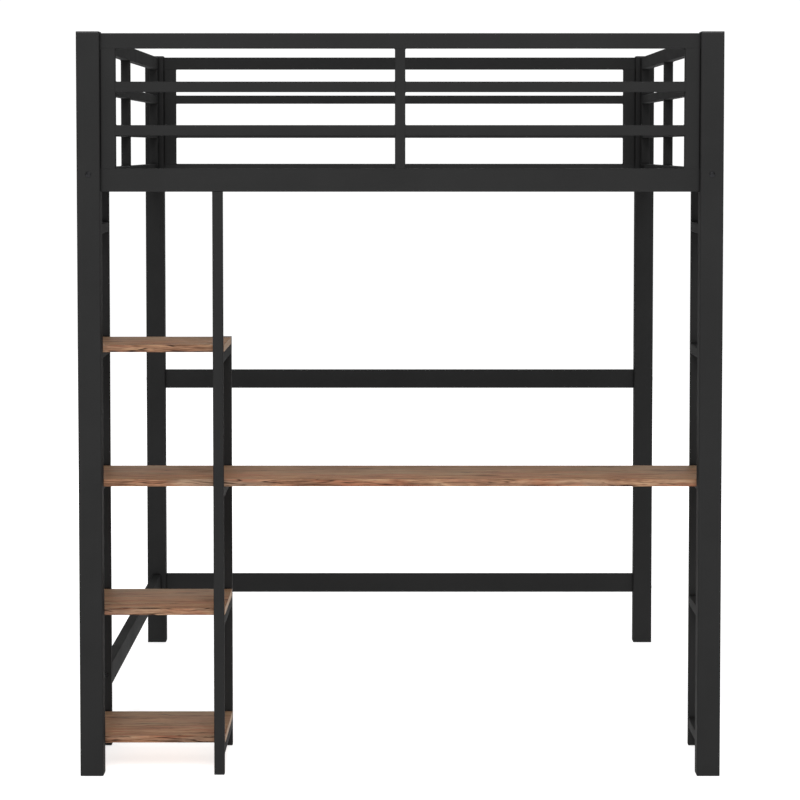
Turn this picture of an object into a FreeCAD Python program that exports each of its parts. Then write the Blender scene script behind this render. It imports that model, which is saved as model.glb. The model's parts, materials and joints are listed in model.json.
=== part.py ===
import FreeCAD, Part
import Sketcher
import math
import os
import re

# Loft bed with a desk and shelves under one short end. Millimetres, +X right, +Y towards the rear,
# +Z up, origin on the floor in the middle of the footprint. The desk end is the front, at -Y.

doc = FreeCAD.newDocument("LoftBedWithDesk")
sheet = doc.addObject("Spreadsheet::Sheet", "Sizes")

drivingSizes = [
    ("overallWidth", 1610, "over the posts, left to right"),
    ("overallLength", 2120, "over the posts, front to rear"),
    ("overallHeight", 1868, "floor to the top of the post caps"),
    ("postSide", 58, "square tube of the corner posts"),
    ("postWall", 1.2, "wall of the posts"),
    ("postCorner", 4, "outer corner radius of the posts"),
    ("beamTall", 58, "height of the bed beams and of the lower rails"),
    ("beamWall", 1.2, "wall of the beams and rails"),
    ("thinSide", 26, "square tube of ladder, shelf frame and guard bars, thickness of the beams"),
    ("thinWall", 1, "wall of the thin tubes"),
    ("thinCorner", 2.5, "outer corner radius of the thin tubes and beams"),
    ("beamTop", 1528, "height of the top of the bed beams"),
    ("guardRailTall", 38, "height of the guards' top rail"),
    ("stileWide", 38, "width of the guards' end stiles"),
    ("capPlate", 4, "plate of a post cap above the tube"),
    ("footPlate", 3, "plate of a foot below the tube"),
    ("legCapPlate", 3, "plate of the cap on the shelf's rear leg"),
    ("plugDeep", 18, "how far a foot or a leg cap reaches into its tube"),
    ("capBoltGap", 1, "end of a post cap's plug above the highest frame bolt"),
    ("plugWall", 2.5, "wall of a plastic plug"),
    ("plugGap", 0.2, "clearance all round between a plug and its tube"),
    ("capEdge", 1.6, "rounded edge of the caps and feet"),
    ("rungLength", 334, "front post to ladder stile"),
    ("rungTop1", 74, "top of the lowest rung, under the bottom shelf"),
    ("rungTop2", 400, "top of the second rung, under the lower shelf"),
    ("rungTop3", 727, "top of the third rung, under the desk"),
    ("rungTop4", 1066.5, "top of the fourth rung, under the top shelf"),
    ("rungTop5", 1386, "top of the highest rung"),
    ("shelfLegSpacing", 320, "centre of the left posts to centre of the shelf legs"),
    ("boardThick", 18, "thickness of the desk and shelf boards"),
    ("boardGap", 1, "clearance between a board's edge and the post or leg beside it"),
    ("boardInset", 2, "board edge inside the outer face of the rung below it"),
    ("boardEdge", 0.8, "broken edge of the boards"),
    ("deskBarSetback", 4, "rear face of the desk support bar in front of the ladder stile"),
    ("upperRailTop", 873, "top of the rear upper rail"),
    ("lowerRailTop", 218, "top of the rear and left lower rails"),
    ("slatCount", 13, "number of bed slats"),
    ("slatWide", 60, "width of a slat"),
    ("slatTall", 12, "height of a slat"),
    ("slatWall", 0.8, "wall of a slat"),
    ("slatCorner", 3, "outer corner radius of a slat"),
    ("slatDrop", 18, "top of the slats below the top of the beams"),
    ("slatEndGap", 2, "clearance between a slat's end and the side beam"),
    ("ledgeLeg", 25, "legs of the angle that carries the slats"),
    ("ledgeThick", 2, "thickness of the ledge angle"),
    ("cleatWide", 40, "width of the cleats under the centre rail"),
    ("boltRadius", 4, "radius of the frame bolts"),
    ("boltHeadRadius", 7, "radius of the frame bolts' heads"),
    ("boltHeadTall", 2.2, "height of the frame bolts' low heads"),
    ("boltStagger", 14, "crossing frame bolts pass this far above or below the middle of the beam"),
    ("holeGap", 0.3, "radial clearance of bolt and screw holes"),
    ("nutBlockDeep", 16, "threaded block in the end of a beam or rail"),
    ("boltEndGap", 2, "end of a bolt short of the far face of its nut block"),
    ("legBoltRadius", 3, "radius of the leg bolts"),
    ("legBoltHeadRadius", 5, "radius of the leg bolts' heads"),
    ("legBoltHeadTall", 3, "height of the leg bolts' heads"),
    ("accessHoleRadius", 7, "hole in the top of a beam, for the leg bolt"),
    ("screwRadius", 2, "radius of the board and slat screws"),
    ("screwHeadRadius", 4, "radius of the screws' heads"),
    ("screwHeadTall", 2, "height of the screws' heads"),
    ("screwGrip", 12, "how far a screw reaches into a board"),
    ("screwFromEnd", 45, "board screws' distance from the ends of a rung"),
    ("slatScrewGrip", 6, "how far a slat screw reaches into the slat from below"),
    ("headRimShare", 0.4, "upright rim of a bolt or screw head, as a share of its height"),
    ("headCrownShare", 0.65, "flat crown of a head, as a share of its radius"),
    ("socketShare", 0.45, "corner radius of a head's hexagon socket, as a share of its radius"),
    ("socketDeepShare", 0.6, "depth of the socket, as a share of the head's height"),
]
for row, (alias, size, note) in enumerate(drivingSizes, start=1):
    sheet.set(f"A{row}", note)
    sheet.set(f"B{row}", str(size))
    sheet.setAlias(f"B{row}", alias)
doc.recompute()

sameHeight = 1e-6  # mm, two corners of an edge this close in height are level
leastCut = 0.1  # mm3, a hole that removes less than this has missed its piece
quarterTurn = math.pi / 2
aliases = {alias for alias, _, _ in drivingSizes}


def bound(expression):
    """The expression with the sheet's name put before each driving size."""
    return re.sub(r"[A-Za-z]\w*", lambda word: ("Sizes." if word[0] in aliases else "") + word[0],
                  str(expression))


def value(expression):
    return float(sheet.evalExpression(bound(expression)))


# Places that several pieces share. Each is an expression of the driving sizes.
postX = "((overallWidth - postSide) / 2)"
postY = "((overallLength - postSide) / 2)"
postInnerX = "(overallWidth / 2 - postSide)"
frontPostRear = "(postSide - overallLength / 2)"
rearPostFront = "(overallLength / 2 - postSide)"
stileY = f"({frontPostRear} + rungLength + thinSide / 2)"
stileRear = f"({frontPostRear} + rungLength + thinSide)"
shelfLegX = f"(shelfLegSpacing - {postX})"
beamMid = "(beamTop - beamTall / 2)"
beamBottom = "(beamTop - beamTall)"
guardTop = "(overallHeight - capPlate)"
guardRailBottom = f"({guardTop} - guardRailTall)"
barGap = f"(({guardRailBottom} - beamTop - 2 * thinSide) / 3)"
sideBeamInnerX = f"({postX} - thinSide / 2)"
panelInnerY = f"({postY} - thinSide / 2)"
slatTop = "(beamTop - slatDrop)"
ledgeTop = f"({slatTop} - slatTall)"
deskBarY = f"({frontPostRear} + rungLength - deskBarSetback - thinSide / 2)"
rungTops = ["rungTop1", "rungTop2", "rungTop3", "rungTop4", "rungTop5"]
nodes = []


def plane(body, role):
    return next(feature for feature in body.Origin.OriginFeatures if feature.Role == role)


def place(piece, x=0, y=0, z=0):
    for axis, expression in (("x", x), ("y", y), ("z", z)):
        piece.setExpression("Placement.Base." + axis, bound(expression))


def newBody(name):
    body = doc.addObject("PartDesign::Body", name)
    body.Label = name
    return body


def newSketch(body, name, role, offset=None):
    sketch = body.newObject("Sketcher::SketchObject", name)
    sketch.AttachmentSupport = [(plane(body, role), "")]
    sketch.MapMode = "FlatFace"
    if offset is not None:
        sketch.setExpression("AttachmentOffset.Base.z", bound(offset))
    return sketch


def setSize(sketch, index, name, expression):
    sketch.renameConstraint(index, name)
    sketch.setExpression("Constraints." + name, bound(expression))


def drawRoundedRectangle(sketch, name, wide, tall, radius):
    """A rectangle about the sketch's origin, with its corners rounded by tangent arcs."""
    halfWide, halfTall, corner = value(wide) / 2, value(tall) / 2, value(radius)
    insideX, insideY = halfWide - corner, halfTall - corner
    point = FreeCAD.Vector
    sides = [
        (point(-insideX, -halfTall), point(insideX, -halfTall)),
        (point(halfWide, -insideY), point(halfWide, insideY)),
        (point(insideX, halfTall), point(-insideX, halfTall)),
        (point(-halfWide, insideY), point(-halfWide, -insideY)),
    ]
    centres = [(insideX, -insideY), (insideX, insideY), (-insideX, insideY), (-insideX, -insideY)]
    lines = [sketch.addGeometry(Part.LineSegment(start, end)) for start, end in sides]
    arcs = []
    for quarter, (x, y) in enumerate(centres):
        circle = Part.Circle(point(x, y), point(0, 0, 1), corner)
        startAngle = (quarter - 1) * quarterTurn
        arcs.append(sketch.addGeometry(Part.ArcOfCircle(circle, startAngle, startAngle + quarterTurn)))
    for side in range(4):
        sketch.addConstraint(Sketcher.Constraint("Tangent", lines[side], 2, arcs[side], 1))
        sketch.addConstraint(Sketcher.Constraint("Tangent", arcs[side], 2, lines[(side + 1) % 4], 1))
    for side in (0, 2):
        sketch.addConstraint(Sketcher.Constraint("Horizontal", lines[side]))
        sketch.addConstraint(Sketcher.Constraint("Vertical", lines[side + 1]))
    for arc in arcs[1:]:
        sketch.addConstraint(Sketcher.Constraint("Equal", arcs[0], arc))
    sketch.addConstraint(Sketcher.Constraint("Symmetric", lines[0], 1, lines[2], 1, -1, 1))
    across = sketch.addConstraint(
        Sketcher.Constraint("DistanceX", lines[3], 1, lines[1], 1, 2 * halfWide))
    setSize(sketch, across, name + "Wide", wide)
    up = sketch.addConstraint(Sketcher.Constraint("DistanceY", lines[0], 1, lines[2], 1, 2 * halfTall))
    setSize(sketch, up, name + "Tall", tall)
    rounding = sketch.addConstraint(Sketcher.Constraint("Radius", arcs[0], corner))
    setSize(sketch, rounding, name + "Corner", radius)


def drawOutline(sketch, points):
    """A closed outline of straight lines, each corner placed from the sketch's origin."""
    corners = [FreeCAD.Vector(value(x), value(y)) for x, y in points]
    lines = []
    for index, start in enumerate(corners):
        end = corners[(index + 1) % len(corners)]
        lines.append(sketch.addGeometry(Part.LineSegment(start, end)))
    for index, (x, y) in enumerate(points):
        sketch.addConstraint(Sketcher.Constraint("Coincident", lines[index - 1], 2, lines[index], 1))
        along = sketch.addConstraint(
            Sketcher.Constraint("DistanceX", -1, 1, lines[index], 1, corners[index].x))
        setSize(sketch, along, f"x{index}", x)
        up = sketch.addConstraint(
            Sketcher.Constraint("DistanceY", -1, 1, lines[index], 1, corners[index].y))
        setSize(sketch, up, f"y{index}", y)


def drawCircles(sketch, places, radius):
    for index, (x, y) in enumerate(places):
        centre = FreeCAD.Vector(value(x), value(y))
        circle = sketch.addGeometry(Part.Circle(centre, FreeCAD.Vector(0, 0, 1), value(radius)))
        along = sketch.addConstraint(Sketcher.Constraint("DistanceX", -1, 1, circle, 3, centre.x))
        setSize(sketch, along, f"holeX{index}", x)
        up = sketch.addConstraint(Sketcher.Constraint("DistanceY", -1, 1, circle, 3, centre.y))
        setSize(sketch, up, f"holeY{index}", y)
        size = sketch.addConstraint(Sketcher.Constraint("Radius", circle, value(radius)))
        setSize(sketch, size, f"holeRadius{index}", radius)


def pad(body, sketch, length, reverse=False):
    feature = body.newObject("PartDesign::Pad", sketch.Name + "Pad")
    feature.Profile = sketch
    feature.Reversed = reverse
    feature.setExpression("Length", bound(length))
    body.Tip = feature
    sketch.Visibility = False
    return feature


# A tube's section lies across its run, so the run's axis names the plane of the sketch.
# The XZ plane faces -Y, so what is padded along Y is reversed.
sectionPlane = {"X": ("YZ_Plane", False), "Y": ("XZ_Plane", True), "Z": ("XY_Plane", False)}


def makeTube(name, along, section, wall, corner, length, start):
    """A hollow tube from the middle of its start section; section is its two sides in X, Y, Z order."""
    body = newBody(name)
    role, reverse = sectionPlane[along]
    sketch = newSketch(body, name + "Section", role)
    wide, tall = section
    drawRoundedRectangle(sketch, "outer", wide, tall, corner)
    drawRoundedRectangle(sketch, "inner", f"{wide} - 2 * {wall}", f"{tall} - 2 * {wall}",
                         f"{corner} - {wall}")
    pad(body, sketch, length, reverse)
    place(body, *start)
    return body


def makeBlock(name, along, section, corner, length, start, bore=None, boreAt=("0", "0")):
    """A solid block, with an optional bore through its length."""
    body = newBody(name)
    role, reverse = sectionPlane[along]
    sketch = newSketch(body, name + "Section", role)
    drawRoundedRectangle(sketch, "outer", section[0], section[1], corner)
    if bore is not None:
        drawCircles(sketch, [boreAt], bore)
    pad(body, sketch, length, reverse)
    place(body, *start)
    return body


drilled = []


def drill(body, name, axis, places, radius, depth=None, reverse=False, halfOnly=False):
    """Holes along an axis of the body. With no depth they go right through, or with halfOnly
    from the body's middle plane through one wall."""
    role, _ = sectionPlane[axis]
    base = body.Tip
    sketch = newSketch(body, name, role)
    drawCircles(sketch, places, radius)
    feature = body.newObject("PartDesign::Pocket", name + "Pocket")
    feature.Profile = sketch
    feature.Reversed = reverse
    if depth is None:
        feature.Type = "ThroughAll"
        feature.SideType = "One side" if halfOnly else "Symmetric"
    else:
        feature.Type = "Length"
        feature.setExpression("Length", bound(depth))
    sketch.Visibility = False
    body.Tip = feature
    drilled.append((base, feature))


def node(piece, name=None):
    """Marks a finished sub-part, which is written to a file of its own."""
    if name is not None:
        piece.Label = name
    nodes.append(piece)
    return piece


def group(name, pieces):
    """Separate solids that make one sub-part: a welded frame, or identical small parts."""
    compound = doc.addObject("Part::Compound", name)
    compound.Links = pieces
    return node(compound, name)


thin = ("thinSide", "thinSide")
upright = ("thinSide", "beamTall")
sides = [("left", -1), ("right", 1)]
ends = [("front", -1), ("rear", 1)]

# Corner posts, each with the holes for its frame bolts. The bolts along X hold the end panels
# and rear rails, the bolts along Y hold the side beams, and they pass each other by the stagger.
panelBoltHeights = [f"({beamMid} - boltStagger)", f"({guardTop} - guardRailTall / 2)"]
beamBoltHeight = f"({beamMid} + boltStagger)"
lowerRailMid = "(lowerRailTop - beamTall / 2)"
upperRailMid = "(upperRailTop - beamTall / 2)"
for end, yWay in ends:
    for side, xWay in sides:
        name = f"{end}_{side}_post"
        post = makeTube(name, "Z", ("postSide", "postSide"), "postWall", "postCorner",
                        f"{guardTop} - footPlate", (f"{xWay} * {postX}", f"{yWay} * {postY}", "footPlate"))
        heightsX = list(panelBoltHeights)
        heightsY = [beamBoltHeight]
        if end == "rear":
            heightsX += [f"{lowerRailMid} - boltStagger", upperRailMid]
            if side == "left":
                heightsY.append(f"{lowerRailMid} + boltStagger")
        clear = "boltRadius + holeGap"
        drill(post, name + "HolesX", "X", [("0", f"{high} - footPlate") for high in heightsX], clear)
        drill(post, name + "HolesY", "Y", [("0", f"{high} - footPlate") for high in heightsY], clear)
        node(post)


capPlugDeep = "(guardRailTall / 2 - boltRadius - capBoltGap)"


def makePlug(name, side, wall, corner, plate, start, upward, deep="plugDeep"):
    """A moulded insert: a plate as wide as the tube, with a hollow plug that reaches into it."""
    body = newBody(name)
    sketch = newSketch(body, name + "Plate", "XY_Plane")
    drawRoundedRectangle(sketch, "plate", side, side, corner)
    plateFeature = pad(body, sketch, plate, reverse=not upward)
    doc.recompute()
    way = 1 if upward else -1
    outerZ = way * value(plate)
    rim = [f"Edge{index}" for index, edge in enumerate(plateFeature.Shape.Edges, start=1)
           if all(abs(vertex.Z - outerZ) < sameHeight for vertex in edge.Vertexes)]
    fillet = body.newObject("PartDesign::Fillet", name + "Edge")
    fillet.Base = (plateFeature, rim)
    fillet.setExpression("Radius", bound(f"min(capEdge; {plate} / 2)"))
    body.Tip = fillet
    inner = newSketch(body, name + "Wall", "XY_Plane")
    plugSide = f"{side} - 2 * {wall} - 2 * plugGap"
    plugCorner = f"{corner} - {wall}"
    drawRoundedRectangle(inner, "plug", plugSide, plugSide, plugCorner)
    drawRoundedRectangle(inner, "hollow", f"{plugSide} - 2 * plugWall", f"{plugSide} - 2 * plugWall",
                         f"{plugCorner} / 2")
    pad(body, inner, deep, reverse=upward)
    place(body, *start)
    return body


caps = []
feet = []
for end, yWay in ends:
    for side, xWay in sides:
        spot = (f"{xWay} * {postX}", f"{yWay} * {postY}")
        caps.append(makePlug(f"{end}_{side}_cap", "postSide", "postWall", "postCorner", "capPlate",
                             (*spot, guardTop), True, capPlugDeep))
        feet.append(makePlug(f"{end}_{side}_foot", "postSide", "postWall", "postCorner", "footPlate",
                             (*spot, "footPlate"), False))
group("post_caps", caps)
group("post_feet", feet)


def makeGuard(prefix, along, low, high, cross):
    """The welded tubes of a guard above a beam, from low to high along its run."""
    span = f"({high} - {low})"
    middle = f"(({high} + {low}) / 2)"

    def run(name, section, start, length, axis=along):
        at = {"X": (start[0], cross, start[1]), "Y": (cross, start[0], start[1])}[along]
        return makeTube(prefix + name, axis, section, "thinWall", "thinCorner", length, at)

    stile = {"X": ("stileWide", "thinSide"), "Y": ("thinSide", "stileWide")}[along]
    tubes = [run("TopRail", ("thinSide", "guardRailTall"), (low, f"{guardTop} - guardRailTall / 2"), span)]
    rise = f"{guardRailBottom} - beamTop"
    for name, at, section in (("LowStile", f"{low} + stileWide / 2", stile),
                              ("HighStile", f"{high} - stileWide / 2", stile),
                              ("Upright", middle, thin)):
        tubes.append(run(name, section, (at, "beamTop"), rise, "Z"))
    barLength = f"{span} / 2 - stileWide - thinSide / 2"
    for level in (1, 2):
        middleZ = f"beamTop + {level} * {barGap} + ({level} - 0.5) * thinSide"
        tubes.append(run(f"LowBar{level}", thin, (f"{low} + stileWide", middleZ), barLength))
        tubes.append(run(f"HighBar{level}", thin, (f"{middle} + thinSide / 2", middleZ), barLength))
    return tubes


def makeAngle(name, along, outline, length, start):
    """A steel angle: an L outline of constant thickness, padded along its run."""
    body = newBody(name)
    role, reverse = sectionPlane[along]
    sketch = newSketch(body, name + "Section", role)
    drawOutline(sketch, outline)
    pad(body, sketch, length, reverse)
    place(body, *start)
    return body


def angleOutline(way, flangeUp):
    """Corner at the origin, one leg up or down a wall and the other leg out from it along way."""
    rise = 1 if flangeUp else -1
    return [("0", "0"), (f"{way} * ledgeLeg", "0"), (f"{way} * ledgeLeg", f"{rise} * ledgeThick"),
            (f"{way} * ledgeThick", f"{rise} * ledgeThick"), (f"{way} * ledgeThick", f"{rise} * ledgeLeg"),
            ("0", f"{rise} * ledgeLeg")]


def drillForLeg(beam, name, along):
    """A leg bolt's holes: its head goes in through the top wall and sits on the bottom wall."""
    spot = [(along, "0")] if name.startswith("front") else [("0", along)]
    drill(beam, name + "Access", "Z", spot, "accessHoleRadius", reverse=True, halfOnly=True)
    drill(beam, name + "Hole", "Z", spot, "legBoltRadius + holeGap", halfOnly=True)


# End panels: the beam and the guard above it, welded, bolted between the posts. A cleat on the
# inner face of each beam carries the centre rail.
for end, yWay in ends:
    crossY = f"{yWay} * {postY}"
    prefix = end + "Panel"
    beam = makeTube(prefix + "Beam", "X", upright, "beamWall", "thinCorner",
                    f"2 * {postInnerX}", (f"-{postInnerX}", crossY, beamMid))
    if end == "front":
        drillForLeg(beam, "frontBeamLeg", f"{postInnerX} + {shelfLegX}")
    tubes = [beam] + makeGuard(prefix, "X", f"(-{postInnerX})", postInnerX, crossY)
    cleat = makeAngle(prefix + "Cleat", "X", angleOutline(-yWay, True), "cleatWide",
                      ("-cleatWide / 2", f"{yWay} * {panelInnerY}", beamBottom))
    group(f"{end}_end_panel", tubes + [cleat])

# Slats run across between the side beams, evenly spaced between the end beams.
slatCount = int(value("slatCount"))
slatSpan = f"(2 * {panelInnerY})"
slatGap = f"(({slatSpan} - slatCount * slatWide) / (slatCount + 1))"
slatPlaces = [f"(({slatGap} + slatWide / 2) + {index} * ({slatGap} + slatWide) - {panelInnerY})"
              for index in range(slatCount)]
slatScrewX = f"({sideBeamInnerX} - ledgeLeg / 2)"

# Side beams with the welded angle that the slats lie on.
beamLength = f"({rearPostFront} - {frontPostRear})"
for side, xWay in sides:
    beam = makeTube(f"{side}SideBeam", "Y", upright, "beamWall", "thinCorner", beamLength,
                    (f"{xWay} * {postX}", frontPostRear, beamMid))
    drillForLeg(beam, f"{side}BeamLeg", f"{stileY} - {frontPostRear}")
    ledge = makeAngle(f"{side}Ledge", "Y", angleOutline(-xWay, False), beamLength,
                      (f"{xWay} * {sideBeamInnerX}", frontPostRear, ledgeTop))
    holes = [(f"{-xWay} * ledgeLeg / 2", f"{spot} - {frontPostRear}") for spot in slatPlaces]
    drill(ledge, f"{side}LedgeHoles", "Z", holes, "screwRadius + holeGap")
    group(f"{side}_side_beam", [beam, ledge])

# Side guards. The left one is as long as the beam; the right one starts behind the ladder.
group("left_side_guard", makeGuard("leftGuard", "Y", frontPostRear, rearPostFront, f"-{postX}"))
group("right_side_guard", makeGuard("rightGuard", "Y", stileRear, rearPostFront, postX))

# Lower rails between the rear posts, and from the left frame post to the rear left post.
for name, middle in (("rear_upper_rail", upperRailMid), ("rear_lower_rail", lowerRailMid)):
    node(makeTube(name, "X", upright, "beamWall", "thinCorner", f"2 * {postInnerX}",
                  (f"-{postInnerX}", postY, middle)))
node(makeTube("left_lower_rail", "Y", upright, "beamWall", "thinCorner",
              f"{rearPostFront} - {stileRear}", (f"-{postX}", stileRear, lowerRailMid)))

# Ladder stile on the right and its twin on the left, with the rungs welded between them and the
# front posts.
legTall = f"({beamBottom} - footPlate)"
screwHole = "screwRadius + holeGap"
railBoltUp = f"{lowerRailMid} - footPlate"
for name, xWay in (("left_frame_post", -1), ("ladder_stile", 1)):
    stile = makeTube(name, "Z", thin, "thinWall", "thinCorner", legTall,
                     (f"{xWay} * {postX}", stileY, "footPlate"))
    if xWay < 0:
        drill(stile, name + "RailHole", "Y", [("0", railBoltUp)], "legBoltRadius + holeGap")
    node(stile)
boardScrewPlaces = [("0", "screwFromEnd"), ("0", "rungLength - screwFromEnd")]
boardTops = {"left": rungTops[:4], "ladder": ["rungTop3"]}  # rungs with a board on them
for prefix, xWay in (("left", -1), ("ladder", 1)):
    for index, top in enumerate(rungTops, start=1):
        name = f"{prefix}_rung_{index}"
        rung = makeTube(name, "Y", thin, "thinWall", "thinCorner", "rungLength",
                        (f"{xWay} * {postX}", frontPostRear, f"{top} - thinSide / 2"))
        if top in boardTops[prefix]:
            drill(rung, name + "Holes", "Z", boardScrewPlaces, screwHole)
        node(rung)

# Shelf frame: a front leg up to the front beam, a rear leg up to the top shelf, four side bars.
topBoardTop = "(rungTop4 + boardThick)"
node(makeTube("shelf_front_leg", "Z", thin, "thinWall", "thinCorner", legTall,
              (shelfLegX, f"-{postY}", "footPlate")))
node(makeTube("shelf_rear_leg", "Z", thin, "thinWall", "thinCorner",
              f"{topBoardTop} - legCapPlate - footPlate", (shelfLegX, stileY, "footPlate")))
shelfBarStart = f"(thinSide / 2 - {postY})"
shelfBarLength = f"({stileY} - thinSide / 2 - {shelfBarStart})"
barScrewPlaces = [("0", f"{frontPostRear} + {inset} - {shelfBarStart}")
                  for inset in ("screwFromEnd", "(rungLength - screwFromEnd)")]
for index, top in enumerate(boardTops["left"], start=1):
    name = f"shelf_side_bar_{index}"
    bar = makeTube(name, "Y", thin, "thinWall", "thinCorner", shelfBarLength,
                   (shelfLegX, shelfBarStart, f"{top} - thinSide / 2"))
    drill(bar, name + "Holes", "Z", barScrewPlaces, screwHole)
    node(bar)

# Support bar under the rear edge of the desk, from the shelf frame to the ladder rung.
deskBarStart = f"({shelfLegX} + thinSide / 2)"
deskBarLength = f"({postX} - thinSide / 2 - {deskBarStart})"
deskBarScrews = [f"{deskBarLength} / 4", f"{deskBarLength} * 3 / 4"]
deskBar = makeTube("desk_support_bar", "X", thin, "thinWall", "thinCorner", deskBarLength,
                   (deskBarStart, deskBarY, "rungTop3 - thinSide / 2"))
drill(deskBar, "deskBarHoles", "Z", [(along, "0") for along in deskBarScrews], screwHole)
node(deskBar)


# Boards, screwed from below through the tubes that they lie on.
boardLeft = f"(boardInset - {postX} - thinSide / 2)"
shelfBoardRight = f"({shelfLegX} + thinSide / 2)"
boardFront = f"({frontPostRear} + boardGap)"
boardDeep = "(rungLength - 2 * boardGap)"
frontScrewY = f"({frontPostRear} + screwFromEnd)"
rearScrewY = f"({frontPostRear} + rungLength - screwFromEnd)"
screwSpots = []


def makeBoard(name, right, top, crossings, extra=()):
    """A board from the left rungs to right; crossings are the X places of the tubes under it."""
    body = newBody(name)
    wide = f"({right} - {boardLeft})"
    middleX = f"(({right} + {boardLeft}) / 2)"
    middleY = f"({boardFront} + {boardDeep} / 2)"
    sketch = newSketch(body, name + "Outline", "XY_Plane")
    drawRoundedRectangle(sketch, "board", wide, boardDeep, "boardEdge")
    slab = pad(body, sketch, "boardThick")
    doc.recompute()
    chamfer = body.newObject("PartDesign::Chamfer", name + "Edges")
    flat = [f"Edge{index}" for index, edge in enumerate(slab.Shape.Edges, start=1)
            if abs(edge.Vertexes[0].Z - edge.Vertexes[-1].Z) < sameHeight]
    chamfer.Base = (slab, flat)
    chamfer.setExpression("Size", bound("boardEdge / 2"))
    body.Tip = chamfer
    doc.recompute()
    places = [(x, y) for x in crossings for y in (frontScrewY, rearScrewY)] + list(extra)
    holes = [(f"{x} - {middleX}", f"{y} - {middleY}") for x, y in places]
    drill(body, name + "Pilots", "Z", holes, screwHole, "screwGrip", reverse=True)
    place(body, middleX, middleY, top)
    screwSpots.extend((x, y, top) for x, y in places)
    return node(body)


shelfCrossings = [f"(-{postX})", shelfLegX]
makeBoard("top_shelf_board", shelfBoardRight, "rungTop4", shelfCrossings)
makeBoard("desk_board", f"(-{boardLeft})", "rungTop3", shelfCrossings + [postX],
          [(f"({deskBarStart} + {along})", deskBarY) for along in deskBarScrews])
makeBoard("lower_shelf_board", shelfBoardRight, "rungTop2", shelfCrossings)
makeBoard("bottom_shelf_board", shelfBoardRight, "rungTop1", shelfCrossings)

# Feet of the four thin legs, and the cap of the shelf's rear leg.
legSpots = {
    "left_frame_post": (f"-{postX}", stileY),
    "ladder_stile": (postX, stileY),
    "shelf_front_leg": (shelfLegX, f"-{postY}"),
    "shelf_rear_leg": (shelfLegX, stileY),
}
group("leg_feet", [makePlug(name + "_foot", "thinSide", "thinWall", "thinCorner", "footPlate",
                            (*spot, "footPlate"), False) for name, spot in legSpots.items()])
node(makePlug("rear_leg_cap", "thinSide", "thinWall", "thinCorner", "legCapPlate",
              (*legSpots["shelf_rear_leg"], f"{topBoardTop} - legCapPlate"), True))

# Centre rail on the cleats of the end beams, and the slats across it.
centreRailTall = f"({ledgeTop} - {beamBottom} - ledgeThick)"
node(makeTube("centre_rail", "Y", ("thinSide", centreRailTall), "thinWall", "thinCorner",
              f"{slatSpan} - 2 * ledgeThick",
              ("0", f"ledgeThick - {panelInnerY}", f"{ledgeTop} - {centreRailTall} / 2")))
slatLength = f"(2 * ({sideBeamInnerX} - slatEndGap))"
for index, spot in enumerate(slatPlaces, start=1):
    name = f"slat_{index:02d}"
    slat = makeTube(name, "X", ("slatWide", "slatTall"), "slatWall", "slatCorner", slatLength,
                    (f"-{slatLength} / 2", spot, f"{ledgeTop} + slatTall / 2"))
    holes = [(f"{slatLength} / 2 + {way} * {slatScrewX}", "0") for way in (-1, 1)]
    drill(slat, name + "Holes", "Z", holes, screwHole, halfOnly=True)
    node(slat)

# Fasteners. Each is turned about its own +Z, which points from the shank to the head, with the
# origin under the head; outward turns that axis to where the head faces.
outward = {
    "left": FreeCAD.Rotation(FreeCAD.Vector(0, 1, 0), -90),
    "right": FreeCAD.Rotation(FreeCAD.Vector(0, 1, 0), 90),
    "front": FreeCAD.Rotation(FreeCAD.Vector(1, 0, 0), 90),
    "rear": FreeCAD.Rotation(FreeCAD.Vector(1, 0, 0), -90),
    "up": FreeCAD.Rotation(),
    "down": FreeCAD.Rotation(FreeCAD.Vector(1, 0, 0), 180),
}
wayOut = {"left": (-1, 0), "right": (1, 0), "front": (0, -1), "rear": (0, 1)}


def drawHexagon(sketch, radius):
    """A regular hexagon on a construction circle about the sketch's origin."""
    reach = FreeCAD.Vector(value(radius), 0, 0)
    upAxis = FreeCAD.Vector(0, 0, 1)
    corners = [FreeCAD.Rotation(upAxis, 360 * index / 6).multVec(reach) for index in range(6)]
    circle = sketch.addGeometry(Part.Circle(FreeCAD.Vector(), upAxis, reach.x), True)
    sketch.addConstraint(Sketcher.Constraint("Coincident", circle, 3, -1, 1))
    size = sketch.addConstraint(Sketcher.Constraint("Radius", circle, reach.x))
    setSize(sketch, size, "socketRadius", radius)
    lines = [sketch.addGeometry(Part.LineSegment(corners[index - 1], corners[index])) for index in range(6)]
    for index in range(6):
        sketch.addConstraint(Sketcher.Constraint("Coincident", lines[index - 1], 2, lines[index], 1))
        sketch.addConstraint(Sketcher.Constraint("PointOnObject", lines[index], 1, circle))
    for line in lines[1:]:
        sketch.addConstraint(Sketcher.Constraint("Equal", lines[0], line))
    sketch.addConstraint(Sketcher.Constraint("PointOnObject", lines[1], 1, -1))


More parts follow.
